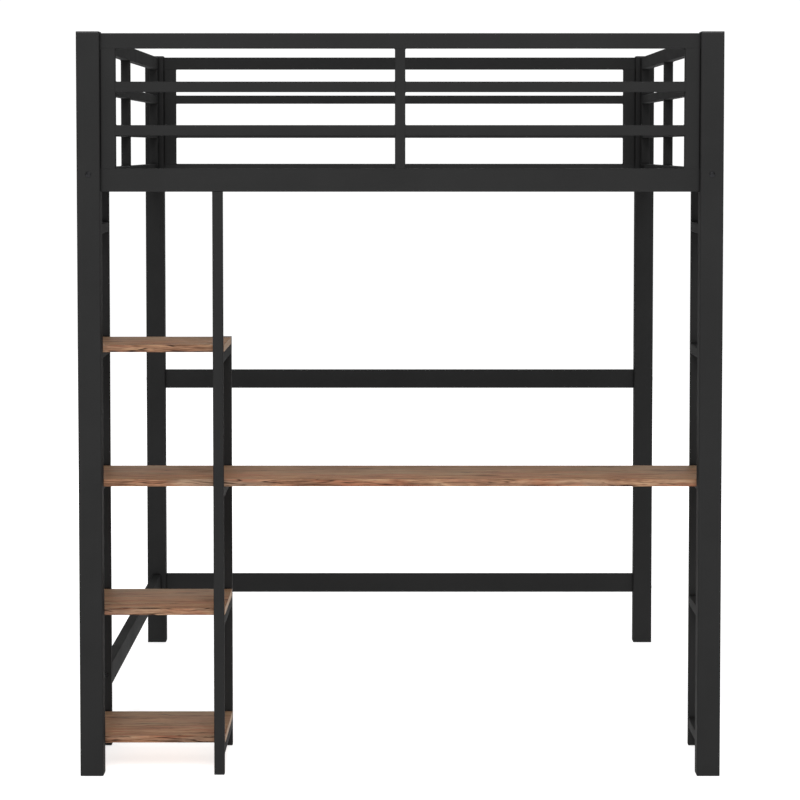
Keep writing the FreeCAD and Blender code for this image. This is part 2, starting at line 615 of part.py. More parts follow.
def makeFastener(name, shank, headRadius, headTall, length, start, facing):
    """A button-head bolt or screw, revolved from its half outline, with a hexagon socket."""
    body = newBody(name)
    sketch = newSketch(body, name + "Profile", "XZ_Plane")
    drawOutline(sketch, [("0", f"-{length}"), (shank, f"-{length}"), (shank, "0"), (headRadius, "0"),
                         (headRadius, f"{headTall} * headRimShare"),
                         (f"{headRadius} * headCrownShare", headTall), ("0", headTall)])
    turned = body.newObject("PartDesign::Revolution", name + "Turned")
    turned.Profile = sketch
    turned.ReferenceAxis = (sketch, ["V_Axis"])
    turned.Angle = 360
    sketch.Visibility = False
    body.Tip = turned
    socket = newSketch(body, name + "Socket", "XY_Plane", headTall)
    drawHexagon(socket, f"{headRadius} * socketShare")
    hollow = body.newObject("PartDesign::Pocket", name + "SocketPocket")
    hollow.Profile = socket
    hollow.setExpression("Length", bound(f"{headTall} * socketDeepShare"))
    socket.Visibility = False
    drilled.append((turned, hollow))
    body.Tip = hollow
    body.Placement.Rotation = outward[facing]
    place(body, *start)
    return body


# Frame bolts, from the outer face of a post into the nut block in the end of a beam or rail.
bolts = []
blocks = []
boltLength = "(postSide + nutBlockDeep - boltEndGap)"


def boltThrough(name, facing, postSpot, high, inside, middle):
    """One frame bolt through a post, and the nut block behind the post's inner face.

    inside is the hollow of the beam or rail with its corner radius, middle the height of its axis."""
    x, y = postSpot
    outX, outY = wayOut[facing]
    start = (f"{x} + {outX} * postSide / 2", f"{y} + {outY} * postSide / 2", high)
    bolts.append(makeFastener(name + "_bolt", "boltRadius", "boltHeadRadius", "boltHeadTall",
                              boltLength, start, facing))
    facesHigh = outX + outY > 0
    blockLow = "(-postSide / 2 - nutBlockDeep)" if facesHigh else "(postSide / 2)"
    along = "X" if outX else "Y"
    blockX = f"{x} + {blockLow}" if outX else x
    blockY = f"{y} + {blockLow}" if outY else y
    *section, corner = inside
    blocks.append(makeBlock(name + "_block", along, section, corner, "nutBlockDeep",
                            (blockX, blockY, middle), "boltRadius", ("0", f"{high} - {middle}")))


beamInside = ("thinSide - 2 * beamWall", "beamTall - 2 * beamWall", "thinCorner - beamWall")
railInside = ("thinSide - 2 * thinWall", "guardRailTall - 2 * thinWall", "thinCorner - thinWall")
for end, yWay in ends:
    for side, xWay in sides:
        spot = (f"{xWay} * {postX}", f"{yWay} * {postY}")
        name = f"{end}_{side}"
        boltThrough(name + "_side_beam", end, spot, beamBoltHeight, beamInside, beamMid)
        boltThrough(name + "_end_beam", side, spot, panelBoltHeights[0], beamInside, beamMid)
        boltThrough(name + "_top_rail", side, spot, panelBoltHeights[1], railInside,
                    panelBoltHeights[1])
        if end == "rear":
            boltThrough(name + "_lower_rail", side, spot, f"({lowerRailMid} - boltStagger)",
                        beamInside, lowerRailMid)
            boltThrough(name + "_upper_rail", side, spot, upperRailMid, beamInside, upperRailMid)
boltThrough("left_lower_rail", "rear", (f"-{postX}", postY), f"({lowerRailMid} + boltStagger)",
            beamInside, lowerRailMid)
group("frame_bolts", bolts)

# Leg bolts, from inside the beams into the nut plugs in the tops of the legs, and one through the
# left frame post into the lower rail behind it.
legBoltLength = "(beamWall + nutBlockDeep - boltEndGap)"
thinInside = ("thinSide - 2 * thinWall", "thinSide - 2 * thinWall")
legBolts = []
for name in ("left_frame_post", "ladder_stile", "shelf_front_leg"):
    x, y = legSpots[name]
    legBolts.append(makeFastener(name + "_bolt", "legBoltRadius", "legBoltHeadRadius", "legBoltHeadTall",
                                 legBoltLength, (x, y, f"{beamBottom} + beamWall"), "up"))
    blocks.append(makeBlock(name + "_nut_plug", "Z", thinInside, "thinCorner - thinWall", "nutBlockDeep",
                            (x, y, f"{beamBottom} - nutBlockDeep"), "legBoltRadius"))
legBolts.append(makeFastener("lower_rail_front_bolt", "legBoltRadius", "legBoltHeadRadius",
                             "legBoltHeadTall", "(thinSide + nutBlockDeep - boltEndGap)",
                             (f"-{postX}", f"{stileRear} - thinSide", lowerRailMid), "front"))
blocks.append(makeBlock("lower_rail_front_block", "Y", beamInside[:2], beamInside[2],
                        "nutBlockDeep", (f"-{postX}", stileRear, lowerRailMid), "legBoltRadius"))
group("leg_bolts", legBolts)
group("nut_blocks", blocks)

# Screws, all driven upwards: through the tubes into the boards, and through the ledges into the slats.
group("board_screws", [
    makeFastener(f"board_screw_{index}", "screwRadius", "screwHeadRadius", "screwHeadTall",
                 "(thinSide + screwGrip)", (x, y, f"{top} - thinSide"), "down")
    for index, (x, y, top) in enumerate(screwSpots, start=1)])
group("slat_screws", [
    makeFastener(f"slat_screw_{side}_{index}", "screwRadius", "screwHeadRadius", "screwHeadTall",
                 "(ledgeThick + slatScrewGrip)",
                 (f"{xWay} * {slatScrewX}", spot, f"{ledgeTop} - ledgeThick"), "down")
    for side, xWay in sides for index, spot in enumerate(slatPlaces, start=1)])

doc.recompute()

for thing in doc.Objects:
    if "Invalid" in thing.State or "Error" in thing.State:
        raise RuntimeError(f"{thing.Label} did not recompute: {thing.State}")
for base, feature in drilled:
    if feature.Shape.Volume >= base.Shape.Volume - leastCut:
        raise RuntimeError(f"{feature.Label} removes nothing")
for piece in nodes:
    if piece.Shape.isNull() or not piece.Shape.isValid():
        raise RuntimeError(f"{piece.Label} has no valid shape")

os.makedirs("parts", exist_ok=True)
for piece in nodes:
    piece.Shape.exportStep(f"parts/{piece.Label}.step")
    print(f"{piece.Label}: {len(piece.Shape.Solids)} solid(s), {piece.Shape.Volume / 1000:.1f} cm3")
print(len(nodes), "sub-parts")
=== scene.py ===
import json
import math
import random

import bmesh
import bpy
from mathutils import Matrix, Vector


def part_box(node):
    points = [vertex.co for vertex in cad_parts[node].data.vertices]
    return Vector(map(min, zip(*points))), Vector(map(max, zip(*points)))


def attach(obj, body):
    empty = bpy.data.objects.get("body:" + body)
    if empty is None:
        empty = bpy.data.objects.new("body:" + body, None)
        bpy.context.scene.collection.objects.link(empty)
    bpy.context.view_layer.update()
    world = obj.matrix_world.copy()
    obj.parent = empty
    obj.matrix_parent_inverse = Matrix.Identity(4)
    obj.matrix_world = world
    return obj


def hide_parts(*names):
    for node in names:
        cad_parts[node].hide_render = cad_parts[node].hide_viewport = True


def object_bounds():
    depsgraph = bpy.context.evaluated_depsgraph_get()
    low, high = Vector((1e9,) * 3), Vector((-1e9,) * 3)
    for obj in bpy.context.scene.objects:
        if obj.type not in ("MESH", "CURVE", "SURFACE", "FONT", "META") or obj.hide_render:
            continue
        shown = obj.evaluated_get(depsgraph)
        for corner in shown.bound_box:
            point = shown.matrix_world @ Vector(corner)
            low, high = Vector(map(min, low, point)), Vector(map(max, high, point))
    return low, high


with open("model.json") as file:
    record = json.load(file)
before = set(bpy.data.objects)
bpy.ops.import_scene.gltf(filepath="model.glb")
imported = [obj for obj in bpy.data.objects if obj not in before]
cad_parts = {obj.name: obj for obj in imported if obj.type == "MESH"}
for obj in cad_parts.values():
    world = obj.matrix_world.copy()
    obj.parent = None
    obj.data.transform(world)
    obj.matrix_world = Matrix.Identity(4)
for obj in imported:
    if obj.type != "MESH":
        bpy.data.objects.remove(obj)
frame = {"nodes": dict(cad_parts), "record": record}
cadLow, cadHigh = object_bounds()
nodeSlots = {part["node"]: part["material_slot"] for part in frame["record"]["subparts"]}
print("frame loaded:", len(frame["nodes"]), "nodes")

scene = bpy.context.scene
mm = 0.001


def hexToLinear(hexColour):
    channels = [int(hexColour[i:i + 2], 16) / 255 for i in (1, 3, 5)]
    linear = [c / 12.92 if c <= 0.04045 else ((c + 0.055) / 1.055) ** 2.4 for c in channels]
    return (*linear, 1.0)


def addNode(tree, kind, settings=None, inputs=None):
    # settings are the node's own options, or a ramp's stops; an input is a value or a socket
    node = tree.nodes.new(kind)
    for name, value in (settings or {}).items():
        if name != "stops":
            setattr(node, name, value)
            continue
        points = node.color_ramp.elements
        while len(points) < len(value):
            points.new(1.0)
        for point, (place, tone) in zip(points, value):
            point.position = place
            point.color = hexToLinear(tone) if isinstance(tone, str) else (tone, tone, tone, 1.0)
    for name, value in (inputs or {}).items():
        if isinstance(value, bpy.types.NodeSocket):
            tree.links.new(value, node.inputs[name])
        else:
            node.inputs[name].default_value = value
    return node


def startMaterial(name, colour, roughness, ior=1.5, metallic=0.0):
    material = bpy.data.materials.new(name)
    material.use_nodes = True
    tree = material.node_tree
    shader = tree.nodes["Principled BSDF"]
    shader.inputs["Base Color"].default_value = hexToLinear(colour)
    shader.inputs["Roughness"].default_value = roughness
    shader.inputs["Metallic"].default_value = metallic
    if metallic == 0.0:
        shader.inputs["IOR"].default_value = ior
    return material, tree, shader


def perMillimetre(size):
    # a noise texture's scale for features of this size in millimetres
    return 1 / (size * mm)


# Satin black powder coat, sprayed and baked on steel tube: an even dark grey film with a faint orange
# peel, a little lighter where it draws thin over the tubes' corners, and painted shade: the film is
# darkened in the tight seams and inner corners between parts, where little open sky reaches.
powderCoat = {
    "film": "#262626",
    "thinFilm": "#2d2d2d",
    "roughness": 0.72,
    "shine": 0.05,  # specular level, low because the film is filled with carbon and matting wax
    "peel": 2.2,  # mm between the ripples of the film
    "peelHeight": 0.02,  # mm
    "cloud": 140.0,  # mm, drift of the spray's thickness
    "cloudSpan": (0.3, 0.7),  # part of the drift pattern that counts
    "cloudShade": (0.93, 1.07),  # darkest and lightest drift
    "cloudGloss": 0.05,  # drift of the roughness, each way
    "edge": 1.2,  # mm, reach of the thin film round a corner
    "edgeTurn": (0.995, 0.93),  # cosine of the turn where thinning starts, and where it is full
    "edgeCover": 0.5,
    "paintedSeamShade": 9.0,  # mm, reach of the painted shade in a tight inner corner
    "paintedShadeOpenSky": (0.45, 0.85),  # share of open sky where the painted shade is darkest, and where there is none
    "paintedShadeKeep": 0.25,  # how much of its tone the film keeps under the darkest painted shade
}


def makePowderCoat():
    size = powderCoat
    material, tree, shader = startMaterial("powderCoatedSteel", size["film"], size["roughness"])
    shader.inputs["Specular IOR Level"].default_value = size["shine"]
    place = addNode(tree, "ShaderNodeTexCoord").outputs["Object"]
    cloud = addNode(tree, "ShaderNodeTexNoise", inputs={
        "Vector": place, "Scale": perMillimetre(size["cloud"]), "Detail": 3.0, "Roughness": 0.55})
    peel = addNode(tree, "ShaderNodeTexNoise", inputs={
        "Vector": place, "Scale": perMillimetre(size["peel"]), "Detail": 2.0, "Roughness": 0.5})
    bevel = addNode(tree, "ShaderNodeBevel", {"samples": 4}, {"Radius": size["edge"] * mm})
    geometry = addNode(tree, "ShaderNodeNewGeometry")
    facing = addNode(tree, "ShaderNodeVectorMath", {"operation": "DOT_PRODUCT"}, {
        0: bevel.outputs["Normal"], 1: geometry.outputs["Normal"]})
    first, last = size["edgeTurn"]
    corner = addNode(tree, "ShaderNodeMapRange", inputs={
        "Value": facing.outputs["Value"], "From Min": first, "From Max": last,
        "To Min": 0.0, "To Max": size["edgeCover"]})
    film = addNode(tree, "ShaderNodeMix", {"data_type": "RGBA"}, {
        0: corner.outputs["Result"], 6: hexToLinear(size["film"]), 7: hexToLinear(size["thinFilm"])})
    thin, thick = size["cloudSpan"]
    darkest, lightest = size["cloudShade"]
    shade = addNode(tree, "ShaderNodeMapRange", inputs={
        "Value": cloud.outputs["Fac"], "From Min": thin, "From Max": thick,
        "To Min": darkest, "To Max": lightest})
    # painted shade: the film's colour is darkened where ambient occlusion finds little open sky, in
    # seams and inner corners between parts
    openness = addNode(tree, "ShaderNodeAmbientOcclusion", {"samples": 6}, {
        "Distance": size["paintedSeamShade"] * mm})
    tight, clear = size["paintedShadeOpenSky"]
    paintedSeamShade = addNode(tree, "ShaderNodeMapRange", inputs={
        "Value": openness.outputs["AO"], "From Min": tight, "From Max": clear,
        "To Min": size["paintedShadeKeep"], "To Max": 1.0})
    shade = addNode(tree, "ShaderNodeMath", {"operation": "MULTIPLY"}, {
        0: shade.outputs["Result"], 1: paintedSeamShade.outputs["Result"]})
    tinted = addNode(tree, "ShaderNodeVectorMath", {"operation": "SCALE"}, {
        0: film.outputs[2], "Scale": shade.outputs["Value"]})
    gloss = addNode(tree, "ShaderNodeMapRange", inputs={
        "Value": cloud.outputs["Fac"], "From Min": thin, "From Max": thick,
        "To Min": size["roughness"] - size["cloudGloss"],
        "To Max": size["roughness"] + size["cloudGloss"]})
    bump = addNode(tree, "ShaderNodeBump", inputs={
        "Height": peel.outputs["Fac"], "Distance": size["peelHeight"] * mm, "Strength": 0.8})
    tree.links.new(tinted.outputs["Vector"], shader.inputs["Base Color"])
    tree.links.new(gloss.outputs["Result"], shader.inputs["Roughness"])
    tree.links.new(bump.outputs["Normal"], shader.inputs["Normal"])
    return material


# Black polypropylene, injection moulded with a spark-eroded texture: duller than the paint, with
# a fine even grain.
mouldedPlastic = {
    "colour": "#1f1f20",
    "ior": 1.49,
    "roughness": 0.58,
    "grain": 0.9,  # mm; the real grain is finer and is drawn coarse enough to show
    "grainDepth": 0.03,  # mm
    "handled": 30.0,  # mm, patches rubbed smoother or left duller
    "handledGloss": 0.08,  # their roughness, each way
}


def makeMouldedPlastic():
    size = mouldedPlastic
    material, tree, shader = startMaterial(
        "mouldedPolypropylene", size["colour"], size["roughness"], ior=size["ior"])
    place = addNode(tree, "ShaderNodeTexCoord").outputs["Object"]
    grain = addNode(tree, "ShaderNodeTexNoise", inputs={
        "Vector": place, "Scale": perMillimetre(size["grain"]), "Detail": 1.0})
    handled = addNode(tree, "ShaderNodeTexNoise", inputs={
        "Vector": place, "Scale": perMillimetre(size["handled"]), "Detail": 2.0})
    gloss = addNode(tree, "ShaderNodeMapRange", inputs={
        "Value": handled.outputs["Fac"], "To Min": size["roughness"] - size["handledGloss"],
        "To Max": size["roughness"] + size["handledGloss"]})
    bump = addNode(tree, "ShaderNodeBump", inputs={
        "Height": grain.outputs["Fac"], "Distance": size["grainDepth"] * mm, "Strength": 0.6})
    tree.links.new(gloss.outputs["Result"], shader.inputs["Roughness"])
    tree.links.new(bump.outputs["Normal"], shader.inputs["Normal"])
    return material


# Black zinc on turned steel bolts, electroplated: dark metal with a low shine, its tone and gloss
# a little smudged.
blackZinc = {
    "colour": "#2d2d2e",
    "smudgeTones": [(0.3, "#272728"), (0.7, "#333335")],
    "roughness": 0.45,
    "smudge": 6.0,  # mm
    "smudgeGloss": (0.1, 0.12),  # how much smoother and rougher
}


def makeBlackZinc():
    size = blackZinc
    material, tree, shader = startMaterial(
        "blackZincSteel", size["colour"], size["roughness"], metallic=1.0)
    place = addNode(tree, "ShaderNodeTexCoord").outputs["Object"]
    smudge = addNode(tree, "ShaderNodeTexNoise", inputs={
        "Vector": place, "Scale": perMillimetre(size["smudge"]), "Detail": 3.0})
    smoother, rougher = size["smudgeGloss"]
    gloss = addNode(tree, "ShaderNodeMapRange", inputs={
        "Value": smudge.outputs["Fac"], "To Min": size["roughness"] - smoother,
        "To Max": size["roughness"] + rougher})
    tone = addNode(tree, "ShaderNodeValToRGB", {"stops": size["smudgeTones"]}, {
        "Fac": smudge.outputs["Fac"]})
    tree.links.new(tone.outputs["Color"], shader.inputs["Base Color"])
    tree.links.new(gloss.outputs["Result"], shader.inputs["Roughness"])
    return material


# Rustic brown oak print, melamine laminate pressed on particle board, with an edge band of its
# own print: soft figured streaks of tan and olive brown on the faces, redder and livelier on the
# edges, fine pores, and thin dark cracks that fork and die out, under a matt film.
facePrint = {
    "tones": [(0.28, "#75533c"), (0.40, "#8d6a4e"), (0.52, "#9f785a"), (0.64, "#ae8665"),
              (0.78, "#bb9672")],
    "weathered": ("#9c8569", 0.65),  # colour, and how strongly it covers
    "heart": ("#a1624a", 0.60),
    "streak": (150.0, 30.0),  # mm, length and width of the broad figure
    "line": (70.0, 6.0),  # mm, growth lines
    "crackPatch": (0.50, 0.60),  # where a slow pattern lets cracks in, from none to all
}
edgePrint = {
    "tones": [(0.32, "#573c2c"), (0.42, "#775540"), (0.51, "#8b6850"), (0.60, "#98755a"),
              (0.72, "#a8886b")],
    "weathered": ("#8d7a69", 0.50),
    "heart": ("#9c6147", 0.50),
    "streak": (120.0, 9.0),
    "line": (50.0, 3.2),
    "crackPatch": (0.38, 0.48),
}
laminate = {
    "pore": "#5f4332",
    "crack": "#2b1911",
    "endBand": "#b89f86",
    "roughness": 0.6,
    "shine": 0.12,  # specular level, low because the film is matt
    "wander": (420.0, 90.0),  # mm, length and width of the grain's bends
    "wanderFar": 14.0,  # mm, how far they go
    "fibre": (26.0, 1.8),  # mm; real pores are finer, and are drawn this coarse to show
    "weatherBand": (260.0, 60.0),  # mm
    "heartStreak": (120.0, 14.0),  # mm
    "crackRun": (260.0, 13.0),  # mm, length and spacing of the cracks
    "crackWide": 0.026,  # share of the spacing
    "crackReach": (300.0, 40.0),  # mm, how far a cracked patch reaches
    "knotSpacing": (520.0, 120.0),  # mm
    "greyFrom": (-880.0, -690.0),  # mm in Y: the print greys from here towards the back edge
    "lineShare": 0.62,  # how much the growth lines sway the broad figure
    "apart": 3.7,  # each pattern starts this many of its features from the last
    "gloss": (0.06, 0.1),  # how much smoother and rougher the film runs with the growth lines
    "pressedDepth": 0.15,  # mm, of the pores
    "crackDepth": 1.5,  # times as deep
}


def makeLaminate(name, woodPrint):
    size = laminate
    material, tree, shader = startMaterial(name, woodPrint["tones"][2][1], size["roughness"])
    shader.inputs["Specular IOR Level"].default_value = size["shine"]
    place = bent = addNode(tree, "ShaderNodeTexCoord").outputs["Object"]
    patterns = (  # mm along and across the grain, detail, roughness
        ("bend", size["wander"], 2.0, 0.5),
        ("streak", woodPrint["streak"], 4.0, 0.62),
        ("line", woodPrint["line"], 3.0, 0.6),
        ("fibre", size["fibre"], 2.0, 0.5),
        ("weather", size["weatherBand"], 2.0, 0.5),
        ("heart", size["heartStreak"], 3.0, 0.55),
        ("crackRun", size["crackRun"], 2.5, 0.5),
        ("crackPatch", size["crackReach"], 1.0, 0.5),
        ("knot", size["knotSpacing"], 1.0, 0.5))
    sockets = {}
    for turn, (pattern, (along, across), detail, roughness) in enumerate(patterns):
        # the grain lies along X; one unit of a pattern is one feature
        start = size["apart"] * turn
        mapped = addNode(tree, "ShaderNodeMapping", inputs={
            "Vector": bent, "Location": (start, start, start),
            "Scale": (1 / (along * mm), 1 / (across * mm), 1 / (across * mm))}).outputs["Vector"]
        if pattern == "knot":
            cells = addNode(tree, "ShaderNodeTexVoronoi", inputs={"Vector": mapped, "Scale": 1.0})
            sockets[pattern] = cells.outputs["Distance"]
            continue
        noise = addNode(tree, "ShaderNodeTexNoise", inputs={
            "Vector": mapped, "Scale": 1.0, "Detail": detail, "Roughness": roughness})
        sockets[pattern] = noise.outputs["Fac"]
        if pattern == "bend":
            reach = 2 * size["wanderFar"] * mm
            bent = addNode(tree, "ShaderNodeVectorMath", {"operation": "MULTIPLY_ADD"}, {
                0: noise.outputs["Color"], 1: (0.0, reach, reach), 2: place}).outputs["Vector"]
    # a crack lies where a long slow pattern crosses its middle value, and only inside a patch
    wide, core = size["crackWide"], size["crackWide"] / 4
    none, full = woodPrint["crackPatch"]
    thin = addNode(tree, "ShaderNodeValToRGB", {"stops": [
        (0.5 - wide, 0.0), (0.5 - core, 1.0), (0.5 + core, 1.0), (0.5 + wide, 0.0)]}, {
        "Fac": sockets["crackRun"]})
    patch = addNode(tree, "ShaderNodeMapRange", inputs={
        "Value": sockets["crackPatch"], "From Min": none, "From Max": full})
    crack = addNode(tree, "ShaderNodeMath", {"operation": "MULTIPLY"}, {
        0: thin.outputs["Color"], 1: patch.outputs["Result"]})
    sockets["crack"] = crack.outputs[0]
    # how far back on the board, and how far a face turns to the board's short ends
    spot = addNode(tree, "ShaderNodeSeparateXYZ", inputs={"Vector": place})
    front, back = size["greyFrom"]
    sockets["back"] = addNode(tree, "ShaderNodeMapRange", inputs={
        "Value": spot.outputs["Y"], "From Min": front * mm, "From Max": back * mm}).outputs["Result"]
    facing = addNode(tree, "ShaderNodeSeparateXYZ", inputs={
        "Vector": addNode(tree, "ShaderNodeNewGeometry").outputs["Normal"]})
    sockets["end"] = addNode(tree, "ShaderNodeMath", {"operation": "ABSOLUTE"}, {
        0: facing.outputs["X"]}).outputs[0]
    sway = addNode(tree, "ShaderNodeMath", {"operation": "MULTIPLY_ADD"}, {
        0: sockets["line"], 1: size["lineShare"], 2: -size["lineShare"] / 2})
    tone = addNode(tree, "ShaderNodeMath", {"operation": "ADD"}, {
        0: sockets["streak"], 1: sway.outputs[0]})
    colour = addNode(tree, "ShaderNodeValToRGB", {"stops": woodPrint["tones"]}, {
        "Fac": tone.outputs[0]}).outputs["Color"]
    weathered, weatherCover = woodPrint["weathered"]
    heartwood, heartCover = woodPrint["heart"]
    layers = (  # a pattern, how strongly its colour covers as the pattern rises, and the colour
        ("weather", [(0.46, 0.0), (0.62, weatherCover)], weathered),
        ("heart", [(0.49, 0.0), (0.66, heartCover)], heartwood),
        ("back", [(0.0, 0.0), (1.0, 0.4)], weathered),
        ("fibre", [(0.30, 0.8), (0.44, 0.0)], size["pore"]),
        ("crack", [(0.0, 0.0), (1.0, 0.95)], size["crack"]),
        ("knot", [(0.02, 0.8), (0.05, 0.4), (0.09, 0.0)], size["crack"]),
        ("end", [(0.6, 0.0), (0.95, 0.6)], size["endBand"]))
    for pattern, stops, cover in layers:
        amount = addNode(tree, "ShaderNodeValToRGB", {"stops": stops}, {"Fac": sockets[pattern]})
        colour = addNode(tree, "ShaderNodeMix", {"data_type": "RGBA"}, {
            0: amount.outputs["Color"], 6: colour, 7: hexToLinear(cover)}).outputs[2]
    tree.links.new(colour, shader.inputs["Base Color"])
    smoother, rougher = size["gloss"]
    gloss = addNode(tree, "ShaderNodeMapRange", inputs={
        "Value": sockets["line"], "To Min": size["roughness"] - smoother,
        "To Max": size["roughness"] + rougher})
    tree.links.new(gloss.outputs["Result"], shader.inputs["Roughness"])
    # the film is pressed a little deeper along the pores and cracks
    pressed = addNode(tree, "ShaderNodeMath", {"operation": "MULTIPLY_ADD"}, {
        0: sockets["crack"], 1: -size["crackDepth"], 2: sockets["fibre"]})
    bump = addNode(tree, "ShaderNodeBump", inputs={
        "Height": pressed.outputs[0], "Distance": size["pressedDepth"] * mm, "Strength": 0.7})
    tree.links.new(bump.outputs["Normal"], shader.inputs["Normal"])
    return material


materials = {
    "powder_coat": makePowderCoat(),
    "black_plastic": makeMouldedPlastic(),
    "blackened_steel": makeBlackZinc(),
    "wood_laminate": makeLaminate("oakPrintLaminate", facePrint),
}
edgeBandMaterial = makeLaminate("oakPrintEdgeBand", edgePrint)
for nodeName, nodeObject in frame["nodes"].items():
    material = materials[nodeSlots[nodeName]]
    if not nodeObject.material_slots:
        nodeObject.data.materials.append(material)
    for materialSlot in nodeObject.material_slots:
        materialSlot.material = material
print("materials made:", ", ".join(materials))


def finishPiece(mesh, name, slot, smoothAngle, material=None):
    piece = bpy.data.objects.new(name, mesh)
    scene.collection.objects.link(piece)
    mesh.materials.append(material or materials[slot])
    for polygon in mesh.polygons:
        polygon.use_smooth = True
    mesh.set_sharp_from_angle(angle=math.radians(smoothAngle))
    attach(piece, "root")
    return piece


# Boards: a pressed slab with faces flush to the CAD board, and an edge band glued round it.
board = {
    "bandThick": 1.0,  # mm, PVC edge band
    "bandProud": 0.12,  # mm that the band stands above the faces after trimming
    "bandRound": 0.9,  # mm, scraped edge of the band
    "glueLine": 0.25,  # mm, groove between the band and the face
    "faceRound": 0.15,  # mm
    "arcSteps": 4,
    "smoothAngle": 40,  # degrees, faces that meet more sharply keep their edge
}


def roundedOutline(wide, tall, radius, steps):
    # counter-clockwise points of a rounded rectangle about the origin
    points = []
    for quarter in range(4):
        signX = 1 if quarter in (0, 3) else -1
        signY = 1 if quarter in (0, 1) else -1
        for step in range(steps + 1):
            angle = (quarter + step / steps) * math.pi / 2
            points.append((signX * (wide / 2 - radius) + radius * math.cos(angle),
                           signY * (tall / 2 - radius) + radius * math.sin(angle)))
    return points


def makeSlab(name, low, high):
    # the pressed slab inside its edge band, as a box with slightly eased edges
    inset = (board["bandThick"] + board["glueLine"]) * mm
    mesh = bpy.data.meshes.new(name)
    shape = bmesh.new()
    bmesh.ops.create_cube(shape, size=1.0)
    spanX, spanY, spanZ = high.x - low.x - 2 * inset, high.y - low.y - 2 * inset, high.z - low.z
    bmesh.ops.scale(shape, vec=(spanX, spanY, spanZ), verts=shape.verts)
    bmesh.ops.translate(shape, vec=(low + high) / 2, verts=shape.verts)
    bmesh.ops.bevel(shape, geom=list(shape.edges), offset=board["faceRound"] * mm, segments=2,
                    affect="EDGES", profile=0.5)
    shape.to_mesh(mesh)
    shape.free()
    return mesh


def makeBand(name, low, high):
    # a closed ring round the slab: its section is a strip with rounded outer corners
    centre = (low + high) / 2
    wide, tall = high.x - low.x, high.y - low.y
    rise = (high.z - low.z) / 2 + board["bandProud"] * mm
    thick, corner = board["bandThick"] * mm, board["bandRound"] * mm
    section = [(thick, -rise), (thick, rise)]  # distance in from the outside, height
    for step in range(board["arcSteps"] + 1):
        angle = step / board["arcSteps"] * math.pi / 2
        section.append((corner * (1 - math.sin(angle)), rise - corner * (1 - math.cos(angle))))
    for step in range(board["arcSteps"] + 1):
        angle = step / board["arcSteps"] * math.pi / 2
        section.append((corner * (1 - math.cos(angle)), -rise + corner * (1 - math.sin(angle))))
    shape = bmesh.new()
    rings = []
    for signX, signY in ((-1, -1), (1, -1), (1, 1), (-1, 1)):
        ring = [shape.verts.new((centre.x + signX * (wide / 2 - inward),
                                 centre.y + signY * (tall / 2 - inward), centre.z + up))
                for inward, up in section]
        rings.append(ring)
    for index, ring in enumerate(rings):
        following = rings[(index + 1) % 4]
        for step in range(len(section)):
            after = (step + 1) % len(section)
            shape.faces.new((ring[step], ring[after], following[after], following[step]))
    bmesh.ops.recalc_face_normals(shape, faces=shape.faces)
    mesh = bpy.data.meshes.new(name)
    shape.to_mesh(mesh)
    shape.free()
    return mesh


for nodeName in ("top_shelf_board", "desk_board", "lower_shelf_board", "bottom_shelf_board"):
    low, high = (Vector(corner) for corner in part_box(nodeName))
    slab = finishPiece(makeSlab(nodeName + "_slab", low, high), nodeName + "_slab", "wood_laminate",
                       board["smoothAngle"])
    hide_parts(nodeName)
    finishPiece(makeBand(nodeName + "_band", low, high), nodeName + "_edge_band", "wood_laminate",
                board["smoothAngle"], edgeBandMaterial)
print("boards made")

# Welds: a rippled bead round each tube end that meets another tube. Where the two tubes lie
# flush it is ground level and fills the groove beside the other tube's rounded edge.
weld = {
    "radius": 1.5,  # mm, of the bead
    "flushSink": 1.45,  # mm, middle of a ground bead below the flush face
    "flushOver": 0.75,  # mm, middle of a ground bead past the tube's end
    "ripple": 0.22,  # mm
    "groundRipple": 0.04,  # mm
    "pitch": 3.4,  # mm between ripples
    "step": 1.7,  # mm between sections
    "sides": 6,
    "tubeCorner": 2.5,  # mm, outer corner radius of the thin tubes
    "cornerSteps": 3,
    "wobble": 0.4,  # chance unevenness of a ripple, as a share of its height
    "levelFacing": 0.9,  # a section that faces the flush side more than this is ground level
    "smoothAngle": 60,  # degrees
}


def weldPath(wide, tall):
    # points round a tube's end, each with its outward direction
    outline = roundedOutline(wide, tall, weld["tubeCorner"] * mm, weld["cornerSteps"])
    points = []
    for index, start in enumerate(outline):
        end = outline[(index + 1) % len(outline)]
        count = max(1, round(math.dist(start, end) / (weld["step"] * mm)))
        for step in range(count):
            points.append(tuple(a + (b - a) * step / count for a, b in zip(start, end)))
    path = []
    for index, point in enumerate(points):
        before, after = points[index - 1], points[(index + 1) % len(points)]
        length = math.dist(before, after)
        path.append((*point, (after[1] - before[1]) / length, (before[0] - after[0]) / length))
    return path


